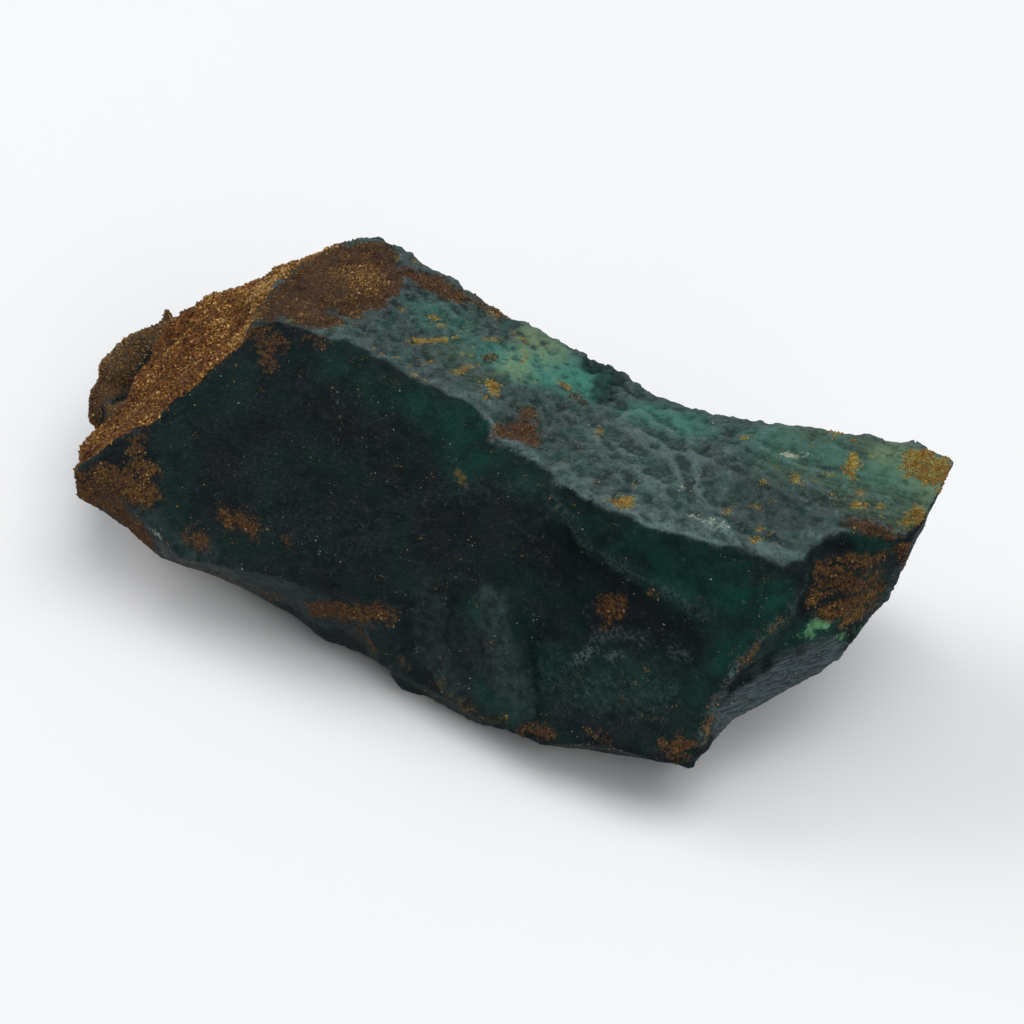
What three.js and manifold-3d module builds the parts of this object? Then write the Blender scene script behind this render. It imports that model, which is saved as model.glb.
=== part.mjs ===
// Raw emerald: one broken, natural lump of crystal, resting on its flattened underside.
// Millimetres, +Z up. z = 0 is the surface that the stone rests on, and the origin is the middle
// of its footprint. +X runs along the stone from its sandy, lobed end to its blunt broken end.
// -Y is the side of the large dark fracture face.
//
// The stone is described as a mineral drawing is: by its edges, each a list of corners from left
// to right, and by the faces that lie between those edges. Every face shares its corners with its
// neighbours, so the faces close into one solid. The shell-shaped fracture scars of the back are
// scooped out of that solid afterwards.

import * as THREE from 'three';
import { mergeVertices } from 'three/addons/utils/BufferGeometryUtils.js';
import Module from 'manifold-3d';

// Driving dimensions: the box that the finished stone fits.
const stoneLength = 53.5;
const stoneDepth = 24.75;
const stoneHeight = 17;

const corners = (...places) => places.map((place) => new THREE.Vector3(...place));
const first = (edge) => edge[0];
const last = (edge) => edge[edge.length - 1];
const backwards = (edge) => [...edge].reverse();

// ---- Edges of the top ----

// The long crest where the pale top breaks over into the dark front, as far as the front's brow.
const ridgeLeft = corners(
  [-12.25, -3.75, 16.5], [-10, -3.25, 17], [-7.5, -2.75, 17], [-2.25, -3, 16.5],
  [1.75, -3, 16.25], [4.5, -3.75, 15.25], [6.25, -3.75, 15], [8.25, -4.25, 14.75],
);

// The same crest over the green facet, and then over the broken right end.
const ridgeMiddle = corners(
  [8.25, -4.25, 14.75], [10.75, -5, 14.75], [13, -4.75, 14.75], [14.5, -5.25, 14.5],
  [17.5, -4, 14], [20.25, -3, 13.25], [21.75, -2, 13.25], [22.75, 0, 13.25],
);
const ridgeRight = corners(
  [22.75, 0, 13.25], [23.75, 1.5, 13.5], [24.75, 2.25, 13.75], [26, 2.5, 13.25],
  [27, 3, 12.5],
);
const ridge = [...ridgeLeft, ...ridgeMiddle.slice(1), ...ridgeRight.slice(1)];

// The far edge of the top, high at the plateau and dipping towards the middle.
const backRim = corners(
  [-11.25, 6.25, 17], [-9.25, 7, 16.5], [-6.25, 6.75, 16], [-3.25, 6.5, 15.5],
  [-0.5, 6.5, 15], [2.25, 6.75, 14.5], [4.25, 6.75, 13.75], [6.25, 7.25, 13.25],
  [7.75, 7, 13], [11.75, 6.25, 13.75], [17.25, 6, 15], [21.5, 7.5, 15.25],
  [25.25, 8.25, 15.5], [27, 8.25, 15.25],
);

// The short right-hand edge of the top, from front to back.
const topRightEdge = corners(
  [27, 3, 12.5], [27.25, 3.75, 13.75], [27.25, 6.25, 14.75], [27, 8.25, 15.25],
);

// The left-hand edge of the flat, rust-covered plateau, from front to back.
const plateauEdge = corners(
  [-12.25, -3.75, 16.5], [-12.75, -2.5, 17], [-13, 0, 17], [-12.5, 3, 17], [-12.25, 4.5, 17],
);

// ---- Edges of the sandy left end ----

// Where the sandy band meets the dark front face, from the stone's left tip up to the plateau.
const bandFront = corners(
  [-20, -12, 7.5], [-18, -10, 9.75], [-16.25, -8.75, 11], [-15.25, -7.75, 12],
  [-14.25, -6.75, 13], [-13.25, -5.75, 14.25], [-12.5, -4.75, 15.25], [-12.25, -3.75, 16.5],
);

// The crest behind the band, from the left tip up to the back of the plateau.
const bandCrest = corners(
  [-20, -12, 7.5], [-20.75, -10, 7], [-21.25, -8.5, 7.25], [-21, -7.75, 7.75],
  [-20.25, -6, 8.5], [-20.5, -4, 9.5], [-20.75, -2.25, 10.5], [-20, -0.5, 12],
  [-18.25, 0, 13.5], [-15.75, 1, 15], [-13.5, 3.75, 16.25], [-12.25, 4.5, 17],
);

// The valley behind the crest, and the outline of the sandy lobe beyond it, front to back.
const valley = corners(
  [-21, -9, 5.5], [-22, -6.5, 5], [-22.25, -4.5, 5.5], [-22.25, -2.25, 6.75], [-22, 0, 8.5],
  [-21, 2, 10], [-19, 4.25, 11],
);
const lobeRim = corners(
  [-25.25, -4.25, 2.5], [-26, -3.75, 3], [-26.25, -2.5, 5], [-26.25, -1.75, 6.5],
  [-25.25, 0, 7.5], [-24, 2.25, 8],
);

// ---- Edges of the front ----

// The lower rim of the dark face, above its undercut strip.
const frontRim = corners(
  [-20, -12, 7.5], [-18.25, -11.75, 7.5], [-15.75, -12, 7], [-14, -12.5, 6.5],
  [-11.25, -13, 5.5], [-8, -12.5, 6], [-3.75, -11.75, 6.5], [-0.5, -11.25, 6.75],
  [2.75, -10.75, 7],
);

// The notch where the undercut strip ends against the lower front face.
const notch = corners([2.75, -10.75, 7], [0.5, -11.5, 5.25], [1.5, -11.25, 2.25]);

// The bend between the dark face and the steeper lower front face.
const chin = corners([2.75, -10.75, 7], [6.25, -8, 10], [8.25, -7, 11.25]);

// The edge that runs down from the crest, left of the big shell-shaped scar.
const scarLeft = corners(
  [8.25, -4.25, 14.75], [7.75, -5.5, 13.25], [8.25, -7, 11.25], [8.75, -8, 9],
  [9.75, -9, 6.5], [11, -10.25, 4.25], [13, -12.25, 2.75],
);

// The brow between the green facet and the scar below it.
const brow = corners(
  [8.25, -4.25, 14.75], [10.25, -5.25, 13.5], [11.75, -5.75, 12.25], [13.75, -5.5, 12],
  [15.75, -5.5, 11.5], [17.5, -5.5, 10.75], [19.5, -5.25, 9.75], [22.25, -4.5, 8.75],
);

// The bed of the scar, in an upper and a lower line.
const scarBedUpper = corners(
  [10.5, -5.75, 10.25], [13, -6.25, 9], [16.25, -6.75, 8], [19, -6.5, 7.5],
);
const scarBedLower = corners([11.75, -8.25, 6.75], [15, -9.5, 5.75], [18.25, -9.25, 5.75]);

// The edge at the right of the green facet and of the scar, from the crest down to the toe.
const cheekUpper = corners(
  [22.75, 0, 13.25], [23, -1.5, 12.75], [23.5, -2, 12], [23, -2.75, 10.75], [22.5, -3.75, 9.75],
  [22.25, -4.5, 8.75],
);
const cheekLower = corners(
  [22.25, -4.5, 8.75], [21.75, -5.5, 8], [21.25, -6.75, 7], [21, -7.75, 6], [21.25, -9, 4.5],
  [21.5, -10.25, 3.75],
);

// ---- Edges of the broken right end ----

// The groove beside the bevel, from the crest down to the ledge.
const groove = corners(
  [22.75, 0, 13.25], [23, 0, 12.25], [23, -0.5, 10.25], [23.5, -1.25, 8.5], [23, -2.5, 7.5],
  [22.25, -4.5, 7],
);

// The upper edge of the striated ledge, from the groove's foot to the right.
const ledge = corners(
  [21.25, -6.5, 6.25], [22.25, -4.5, 7], [23.25, -2.75, 7], [24.25, -1.5, 7], [25.5, 0, 7],
  [25.5, 0.75, 6.75],
);

// The far right edge of the broken end, from the top down to the foot.
const rightEdge = corners(
  [27, 3, 12.5], [26.75, 3.5, 10.5], [26.25, 3.25, 8.5], [25.75, 2.5, 7.5],
);

// ---- Edges round the foot, and of the hidden back ----

// The lower edge of the undercut strip, which climbs to the left, clear of the ground.
const stripFoot = corners(
  [-19.75, -12.25, 5.75], [-18.25, -12, 5.5], [-15.75, -12, 4.5], [-13.75, -12, 3.5],
  [-11.25, -11.25, 3.25], [-8.75, -10.75, 2.75], [-5.75, -10.5, 2.25], [-2.75, -10.75, 1.5],
  [0, -10.5, 1.5],
);
const frontFoot = corners(
  [1.5, -11.25, 2.25], [2.75, -11.25, 0.75], [5.75, -11, 0.75], [7.75, -11.5, 1],
  [10.5, -12, 2.25], [13, -12.25, 2.75],
);
const scarFoot = corners(
  [13, -12.25, 2.75], [15.5, -11.5, 3.5], [17.5, -11.5, 4], [20.25, -11, 4], [21.5, -10.25, 3.75],
);
const ledgeFoot = corners(
  [21.75, -6.5, 4.5], [22.5, -5, 4.75], [23.25, -3, 4.5], [24.5, -1.5, 5.5], [25.25, -0.25, 6.25],
  [25.5, 0.75, 6.75],
);
const backWaist = corners(
  [-18, 6, 9.5], [-11, 10.25, 9], [-4, 10, 8.25], [3, 9.75, 7.5], [10, 10.25, 7.25], [17.75, 11.75, 8.5],
  [24.25, 11.25, 9.5],
);
const backFoot = corners(
  [-17.5, 6.5, 2], [-12, 9.5, 0.75], [-4, 9.25, 0.75], [4, 9.25, 0.75], [12, 9.75, 0.5],
  [18, 11, 1.75], [22.75, 9.75, 4],
);
const rightFoot = corners([23.75, 6.75, 5.25]);
const heel = corners([-20.5, -8.25, 4.75], [-21, -4.75, 3.5], [-21, -1, 3], [-20, 3, 2.5]);

// The flat that the stone rests on, anticlockwise from its front left.
const restingFlat = corners(
  [-12, -8, 0], [-4, -8.75, 0], [3.5, -9.5, 0], [9.5, -9.25, 0], [14.5, -8.5, 0], [18.5, -5, 0],
  [20, 0, 0], [19.5, 6, 0], [13.5, 8.5, 0], [3, 8, 0], [-6, 8, 0], [-13, 6.5, 0], [-15, 2, 0],
  [-14.5, -4.5, 0],
);

// ---- Faces ----

const faces = [];

// Adds one face, given as triangles, turned as a whole so that it looks away from the middle.
const middle = new THREE.Vector3(0, 0, stoneHeight / 2);
function addFace(triangles) {
  const side = new THREE.Vector3();
  const otherSide = new THREE.Vector3();
  let outward = 0;
  for (const [a, b, c] of triangles) {
    side.subVectors(b, a);
    otherSide.subVectors(c, a);
    outward += side.cross(otherSide).dot(otherSide.subVectors(a, middle));
  }
  for (const [a, b, c] of triangles) {
    faces.push(outward > 0 ? [a, b, c] : [a, c, b]);
  }
}

// A strip of triangles between two edges that run the same way, across the shorter diagonal
// at every step.
function strip(edgeA, edgeB) {
  const triangles = [];
  let a = 0;
  let b = 0;
  while (a < edgeA.length - 1 || b < edgeB.length - 1) {
    const stepA = a < edgeA.length - 1 ? edgeA[a + 1].distanceTo(edgeB[b]) : Infinity;
    const stepB = b < edgeB.length - 1 ? edgeB[b + 1].distanceTo(edgeA[a]) : Infinity;
    if (stepA <= stepB) {
      triangles.push([edgeA[a], edgeA[a + 1], edgeB[b]]);
      a += 1;
    } else {
      triangles.push([edgeA[a], edgeB[b + 1], edgeB[b]]);
      b += 1;
    }
  }
  addFace(triangles);
}

// A face inside one closed loop of edges, cut into triangles in the loop's own mean plane.
function loop(...edges) {
  const ring = edges.flat().filter((corner, i, all) => !corner.equals(all[(i + 1) % all.length]));
  const normal = new THREE.Vector3();
  ring.forEach((corner, i) => {
    const next = ring[(i + 1) % ring.length];
    normal.add(corner.clone().cross(next));
  });
  const across = new THREE.Vector3().subVectors(ring[1], ring[0]).cross(normal).normalize();
  const along = new THREE.Vector3().crossVectors(across, normal.normalize());
  const outline = ring.map((corner) => new THREE.Vector2(corner.dot(across), corner.dot(along)));
  if (THREE.ShapeUtils.isClockWise(outline)) {
    ring.reverse();
    outline.reverse();
  }
  const triangles = THREE.ShapeUtils.triangulateShape(outline, []);
  addFace(triangles.map((triangle) => triangle.map((i) => ring[i])));
}

// The top: the plateau, then the long slope to the right.
loop(plateauEdge, backRim.slice(0, 3), backwards(ridge.slice(0, 4)));
strip([...ridge.slice(3), topRightEdge[1]], [...backRim.slice(2), topRightEdge[2]]);

// The sandy band, the left side under its crest, and the lobe above and below its outline.
const leftTip = first(stripFoot);
strip([...bandFront, ...plateauEdge.slice(1)], bandCrest);
strip([...bandCrest, first(backRim)], [leftTip, ...valley, first(backWaist)]);
strip([...valley, first(backWaist)], [leftTip, ...lobeRim]);
strip([...lobeRim, first(backWaist)], [leftTip, ...heel, first(backFoot)]);

// The dark face, the undercut strip below it and the steeper face under its chin.
loop(bandFront, ridgeLeft, scarLeft.slice(0, 3), backwards(chin), backwards(frontRim));
strip([...frontRim, notch[1]], [...stripFoot, first(frontFoot)]);
loop(chin, scarLeft.slice(2), backwards(frontFoot), backwards(notch));

// The green facet under the crest, and the big shell-shaped scar under its brow.
loop(ridgeMiddle, cheekUpper, backwards(brow));
strip([...brow, cheekLower[1]], [...scarLeft.slice(1, 3), ...scarBedUpper, cheekLower[2]]);
strip([scarLeft[2], ...scarBedUpper, cheekLower[2]], [scarLeft[3], ...scarBedLower, cheekLower[3]]);
strip([scarLeft[3], ...scarBedLower, cheekLower[3]], [...scarLeft.slice(4), ...scarFoot, cheekLower[4]]);

// The right end: the bevel, the broken face behind the groove, the toe and the striated ledge.
strip([...cheekUpper.slice(1), ...cheekLower.slice(1, 3)], [...groove, first(ledge)]);
loop(ridgeRight, rightEdge, backwards(ledge.slice(1)), backwards(groove));
loop(cheekLower.slice(2), first(ledgeFoot), first(ledge));
loop(ledge, backwards(ledgeFoot));

// The hidden side: the right flank and the back, above and below its waist.
loop(topRightEdge, last(backWaist), last(backFoot), rightFoot, backwards(rightEdge));
strip(backRim, backWaist);
strip(backWaist, backFoot);

// The underside: an undercut all round, down to the resting flat.
const footLeftToRight = [...stripFoot, ...frontFoot, ...scarFoot.slice(1), ...ledgeFoot];
const footRightToLeft = [last(rightEdge), ...rightFoot, ...backwards(backFoot), ...backwards(heel)];
strip(
  [...footLeftToRight, ...footRightToLeft, first(stripFoot)],
  [...restingFlat, first(restingFlat)],
);
loop(restingFlat);

// ---- Solids ----

const wasm = await Module();
wasm.setup();

function toSolid(geometry) {
  geometry.deleteAttribute('normal');
  geometry.deleteAttribute('uv');
  const welded = mergeVertices(geometry, 1e-4);
  return new wasm.Manifold(new wasm.Mesh({
    numProp: 3,
    vertProperties: Float32Array.from(welded.attributes.position.array),
    triVerts: Uint32Array.from(welded.index.array),
  }));
}

function toGeometry(solid) {
  const { vertProperties, triVerts } = solid.getMesh();
  const geometry = new THREE.BufferGeometry();
  geometry.setAttribute('position', new THREE.BufferAttribute(vertProperties, 3));
  geometry.setIndex(new THREE.BufferAttribute(triVerts, 1));
  return geometry;
}

// What one shell-shaped scar takes away: a ball with three radii, turned about the vertical.
const scoopRoundness = 10;
function scoop(place, radii, turnDegrees) {
  const geometry = new THREE.IcosahedronGeometry(1, scoopRoundness);
  geometry.scale(...radii);
  geometry.rotateZ(THREE.MathUtils.degToRad(turnDegrees));
  geometry.translate(...place);
  return toSolid(geometry);
}

const facetedBody = toSolid(new THREE.BufferGeometry().setFromPoints(faces.flat()));

// Shallow shell-shaped scars on the hidden back.
const backScarMiddle = scoop([6, 20.5, 11], [17, 12.5, 13], 0);
const backScarLeft = scoop([-17, 18, 5], [12, 11.5, 13], 35);

const stone = facetedBody.subtract(backScarMiddle).subtract(backScarLeft);

// ---- The part ----

const emeraldMaterial = new THREE.MeshStandardMaterial({
  color: 0x1f4a43,
  roughness: 0.35,
  metalness: 0,
});

const emeraldGeometry = toGeometry(stone);
emeraldGeometry.computeBoundingBox();
const box = emeraldGeometry.boundingBox;
emeraldGeometry.translate(-(box.min.x + box.max.x) / 2, -(box.min.y + box.max.y) / 2, -box.min.z);
emeraldGeometry.scale(
  stoneLength / (box.max.x - box.min.x),
  stoneDepth / (box.max.y - box.min.y),
  stoneHeight / (box.max.z - box.min.z),
);
emeraldGeometry.computeVertexNormals();

const emerald = new THREE.Mesh(emeraldGeometry, emeraldMaterial);
emerald.name = 'emerald';

const group = new THREE.Group();
group.add(emerald);

export default group;
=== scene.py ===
import itertools
import math

import bmesh
import bpy
import numpy as np
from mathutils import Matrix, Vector
from mathutils.kdtree import KDTree


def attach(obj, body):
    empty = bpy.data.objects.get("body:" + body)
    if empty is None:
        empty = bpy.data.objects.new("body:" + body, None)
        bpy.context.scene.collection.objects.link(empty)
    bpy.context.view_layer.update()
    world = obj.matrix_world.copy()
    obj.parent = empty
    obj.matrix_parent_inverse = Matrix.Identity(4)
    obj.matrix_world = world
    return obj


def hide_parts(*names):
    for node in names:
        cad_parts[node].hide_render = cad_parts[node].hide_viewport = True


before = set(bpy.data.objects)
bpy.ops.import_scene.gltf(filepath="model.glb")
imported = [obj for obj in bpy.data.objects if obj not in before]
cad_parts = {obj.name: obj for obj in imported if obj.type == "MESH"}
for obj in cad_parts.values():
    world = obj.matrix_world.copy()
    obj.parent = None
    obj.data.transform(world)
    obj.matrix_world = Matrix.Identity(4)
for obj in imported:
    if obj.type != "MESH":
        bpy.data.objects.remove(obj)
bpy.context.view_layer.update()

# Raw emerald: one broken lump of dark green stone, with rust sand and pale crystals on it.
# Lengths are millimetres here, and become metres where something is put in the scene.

mm = 0.001


# Camera, floor and light

cameraSetup = {
    "target": (2.36, 1.08, 6.0),
    "azimuth": 33,  # degrees round the stone, 0 looks along +Y
    "elevation": 40,
    "distance": 184,
    "lens": 110,
}


def addToScene(name, data):
    thing = bpy.data.objects.new(name, data)
    bpy.context.scene.collection.objects.link(thing)
    return thing


# Puts a camera or lamp at place, turned so that it looks against back
def aim(thing, place, back):
    thing.location = place * mm
    thing.rotation_mode = "QUATERNION"
    thing.rotation_quaternion = (-back).to_track_quat("-Z", "Y")


def makeCamera(setup):
    azimuth, elevation = math.radians(setup["azimuth"]), math.radians(setup["elevation"])
    back = Vector((
        math.sin(azimuth) * math.cos(elevation),
        -math.cos(azimuth) * math.cos(elevation),
        math.sin(elevation),
    ))
    data = bpy.data.cameras.new("stoneCamera")
    data.lens = setup["lens"]
    data.sensor_width = 36
    data.clip_start = 0.01
    data.clip_end = 20
    cameraObject = addToScene("stoneCamera", data)
    aim(cameraObject, Vector(setup["target"]) + back * setup["distance"], back)
    bpy.context.scene.camera = cameraObject


# Every soft box aims at the origin; place and size in mm, brightness is its face's radiance
softBoxes = {
    "topBox": {"place": (220, 190, 870), "size": (900, 900), "brightness": 2.2},
    "rightBox": {"place": (640, -400, 560), "size": (600, 600), "brightness": 2.5},
    "leftBox": {"place": (-780, -20, 440), "size": (560, 560), "brightness": 4.6},
}
lampColour = (1.0, 0.995, 0.99)
# The room is pale, but darker on the side that the camera looks from
room = {
    "colour": (0.82, 0.97, 1.06),
    "bright": 0.375,
    "dark": 0.135,
    "darkSide": (-0.34, -0.74, 0.575),
    "darkInside": 25,  # degrees round that direction, fading out by darkOutside
    "darkOutside": 60,
}
floorLook = {"colour": (0.812, 0.797, 0.798), "roughness": 0.75, "side": 6000}


def makeSoftBoxes():
    for name, box in softBoxes.items():
        data = bpy.data.lights.new(name, "AREA")
        data.shape = "RECTANGLE"
        data.size = box["size"][0] * mm
        data.size_y = box["size"][1] * mm
        # watts for a rectangle of this radiance
        data.energy = box["brightness"] * math.pi * data.size * data.size_y
        data.color = lampColour
        place = Vector(box["place"])
        aim(addToScene(name, data), place, place)


def makeRoom():
    world = bpy.data.worlds.new("paleRoom")
    world.use_nodes = True
    tree = world.node_tree
    direction = tree.nodes.new("ShaderNodeTexCoord").outputs["Generated"]
    toDark = addNode(tree, "ShaderNodeVectorMath", operation="DOT_PRODUCT")
    tree.links.new(direction, toDark.inputs[0])
    toDark.inputs[1].default_value = Vector(room["darkSide"]).normalized()
    outside = math.cos(math.radians(room["darkOutside"]))
    inside = math.cos(math.radians(room["darkInside"]))
    strength = fade(tree, toDark.outputs["Value"], outside, inside, room["bright"], room["dark"])
    background = tree.nodes["Background"]
    background.inputs["Color"].default_value = (*room["colour"], 1)
    tree.links.new(strength, background.inputs["Strength"])
    bpy.context.scene.world = world
    bpy.context.scene.view_settings.view_transform = "Standard"


# Node helpers, shared by every material

def addNode(tree, kind, sockets=None, **settings):
    node = tree.nodes.new(kind)
    for name, value in settings.items():
        setattr(node, name, value)
    for name, value in (sockets or {}).items():
        plug(tree, value, node.inputs[name])
    return node


def plug(tree, value, socket):
    if isinstance(value, bpy.types.NodeSocket):
        tree.links.new(value, socket)
    elif hasattr(value, "__len__") and len(value) == 3 and socket.type == "RGBA":
        socket.default_value = (*value, 1)
    else:
        socket.default_value = value


# Noise from 0 to 1 with blobs about size mm across
def grain(tree, position, size, detail=3.0, roughness=0.5, distortion=0.0):
    node = addNode(tree, "ShaderNodeTexNoise", {
        "Vector": position, "Scale": 1 / (size * mm), "Detail": detail,
        "Roughness": roughness, "Distortion": distortion,
    })
    return node.outputs["Fac"]


def fade(tree, value, low, high, bottom=0.0, top=1.0):
    node = addNode(tree, "ShaderNodeMapRange", {
        "Value": value, "From Min": low, "From Max": high, "To Min": bottom, "To Max": top,
    }, interpolation_type="SMOOTHSTEP")
    return node.outputs["Result"]


def combine(tree, operation, a, b):
    node = tree.nodes.new("ShaderNodeMath")
    node.operation = operation
    plug(tree, a, node.inputs[0])
    plug(tree, b, node.inputs[1])
    return node.outputs[0]


def blend(tree, share, under, over):
    node = tree.nodes.new("ShaderNodeMix")
    node.data_type = "RGBA"
    plug(tree, share, node.inputs["Factor"])
    plug(tree, under, node.inputs[6])
    plug(tree, over, node.inputs[7])
    return node.outputs[2]


def painted(tree, name):
    return addNode(tree, "ShaderNodeAttribute", attribute_name=name).outputs["Fac"]


# A painted mask whose edge is broken up by noise
def brokenUp(tree, name, noise, amount, low, high):
    wobble = combine(tree, "MULTIPLY", combine(tree, "SUBTRACT", noise, 0.5), amount)
    return fade(tree, combine(tree, "ADD", painted(tree, name), wobble), low, high)


def addBump(tree, shader, height, strength, distance):
    settings = {"Height": height, "Strength": strength, "Distance": distance * mm}
    bump = addNode(tree, "ShaderNodeBump", settings)
    plug(tree, bump.outputs["Normal"], shader.inputs["Normal"])


# The position squeezed along one level direction, so that noise on it is drawn out that way
def drawnOut(tree, position, turn, times):
    node = addNode(tree, "ShaderNodeMapping", {"Vector": position}, vector_type="TEXTURE")
    node.inputs["Rotation"].default_value = (0, 0, math.radians(turn))
    node.inputs["Scale"].default_value = (times, 1, 1)
    return node.outputs["Vector"]


def newMaterial(name):
    material = bpy.data.materials.new(name)
    material.use_nodes = True
    tree = material.node_tree
    tree.nodes.clear()
    shader = tree.nodes.new("ShaderNodeBsdfPrincipled")
    output = tree.nodes.new("ShaderNodeOutputMaterial")
    tree.links.new(shader.outputs["BSDF"], output.inputs["Surface"])
    position = tree.nodes.new("ShaderNodeTexCoord").outputs["Object"]
    return material, tree, shader, position


def makeFloor():
    half = floorLook["side"] / 2 * mm
    mesh = bpy.data.meshes.new("paleFloor")
    mesh.from_pydata(
        [(-half, -half, 0), (half, -half, 0), (half, half, 0), (-half, half, 0)], [], [(0, 1, 2, 3)]
    )
    floorObject = addToScene("paleFloor", mesh)
    material, tree, shader, position = newMaterial("paleFloorPaint")
    tone = fade(tree, grain(tree, position, 60), 0.2, 0.8)
    colour = floorLook["colour"]
    darker = tuple(0.985 * c for c in colour)
    plug(tree, blend(tree, tone, darker, colour), shader.inputs["Base Color"])
    shader.inputs["Roughness"].default_value = floorLook["roughness"]
    shader.inputs["Specular IOR Level"].default_value = 0.2
    mesh.materials.append(material)


makeCamera(cameraSetup)
makeSoftBoxes()
makeRoom()
makeFloor()
print("camera, lights and floor made")


# Noise for the sculpting, on arrays of points in mm

noiseCells = 256  # a power of two
noiseSource = np.random.default_rng(11)
noiseSlopes = noiseSource.normal(size=(noiseCells, 3))
noiseSlopes /= np.linalg.norm(noiseSlopes, axis=1)[:, None]
noiseOrder = noiseSource.permutation(noiseCells)


# Smooth noise, mostly between -1 and 1; each seed looks at another stretch of it
def cloud(points, size, seed=0):
    spot = points / size + seed * 19.7
    cell = np.floor(spot).astype(int)
    inside = spot - cell
    ease = inside ** 3 * (inside * (inside * 6 - 15) + 10)
    total = np.zeros(len(points))
    for corner in itertools.product((0, 1), repeat=3):
        x, y, z = (cell + corner).T & (noiseCells - 1)
        pick = noiseOrder[(noiseOrder[x] + y) & (noiseCells - 1)]
        pick = noiseOrder[(pick + z) & (noiseCells - 1)]
        lean = (noiseSlopes[pick] * (inside - corner)).sum(1)
        total += lean * np.where(corner, ease, 1 - ease).prod(1)
    return total * 1.9


def layers(points, size, count=4, keep=0.5, seed=0):
    total, weight, strength = np.zeros(len(points)), 0.0, 1.0
    for i in range(count):
        total += cloud(points, size / 2 ** i, seed + i) * strength
        weight += strength
        strength *= keep
    return total / weight


# Sharp crests at 1, broad hollows towards 0
def creases(points, size, count=3, seed=0):
    total, weight, strength = np.zeros(len(points)), 0.0, 1.0
    for i in range(count):
        total += (1 - np.abs(cloud(points, size / 2 ** i, seed + i))) ** 2 * strength
        weight += strength
        strength *= 0.5
    return total / weight


# The points squeezed along direction, so that noise on them is drawn out along it
def stretched(points, direction, times):
    line = np.array(direction, float)
    line /= np.linalg.norm(line)
    return points - np.outer(points @ line, line) * (1 - 1 / times)


def soft(value, low, high):
    t = np.clip((value - low) / (high - low), 0, 1)
    return t * t * (3 - 2 * t)


# Distance of each point from a line through the places of path, or from its one place
def awayFrom(points, path):
    path = np.array(path, float).reshape(-1, 3)
    if len(path) == 1:
        return np.linalg.norm(points - path[0], axis=1)
    best = np.full(len(points), 1e9)
    for a, b in zip(path[:-1], path[1:]):
        run = b - a
        t = np.clip((points - a) @ run / (run @ run), 0, 1)
        best = np.minimum(best, np.linalg.norm(points - a - t[:, None] * run, axis=1))
    return best


# How far each point lies to the left of a walk along path, seen from above
def leftOf(points, path):
    best, signed = np.full(len(points), 1e9), np.zeros(len(points))
    for a, b in zip(path[:-1], path[1:]):
        run = np.array(b[:2], float) - a[:2]
        gap = points[:, :2] - a[:2]
        t = np.clip(gap @ run / (run @ run), 0, 1)
        gap = gap - t[:, None] * run
        distance = np.linalg.norm(gap, axis=1)
        nearer = distance < best
        side = np.sign(run[0] * gap[:, 1] - run[1] * gap[:, 0])
        best[nearer] = distance[nearer]
        signed[nearer] = (side * distance)[nearer]
    return signed


# The stone's body: the CAD solid, remeshed finely and then worked over

stoneShape = {
    "gridStep": 0.21,  # size of the mesh's faces
    "waves": 0.16,  # depth of the slow unevenness of every face
    "dents": 0.08,
    "grit": 0.035,
    "chips": 0.65,  # depth of the bites along sharp edges
    "wrinkles": 1.0,
    "steps": 0.42,
    "ledgeSteps": 0.34,
    "lumps": 0.6,  # of the sandy lobe
    "crust": 0.5,  # of the sandy band
    "relief": 0.22,  # height in mm from hollow to crest that the paint goes by
}


def remeshedStone():
    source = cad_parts["emerald"].data
    mesh = source.copy()
    mesh.materials.clear()
    coordinates = np.empty(len(mesh.vertices) * 3, np.float32)
    mesh.vertices.foreach_get("co", coordinates)
    mesh.vertices.foreach_set("co", coordinates / mm)
    stone = addToScene("emeraldStone", mesh)
    grid = stone.modifiers.new("grid", "REMESH")
    grid.mode = "VOXEL"
    grid.voxel_size = stoneShape["gridStep"]
    bpy.context.view_layer.update()
    evaluated = stone.evaluated_get(bpy.context.evaluated_depsgraph_get())
    fine = bpy.data.meshes.new_from_object(evaluated)
    stone.modifiers.clear()
    stone.data = fine
    fine.name = "emeraldStone"
    return stone


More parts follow.
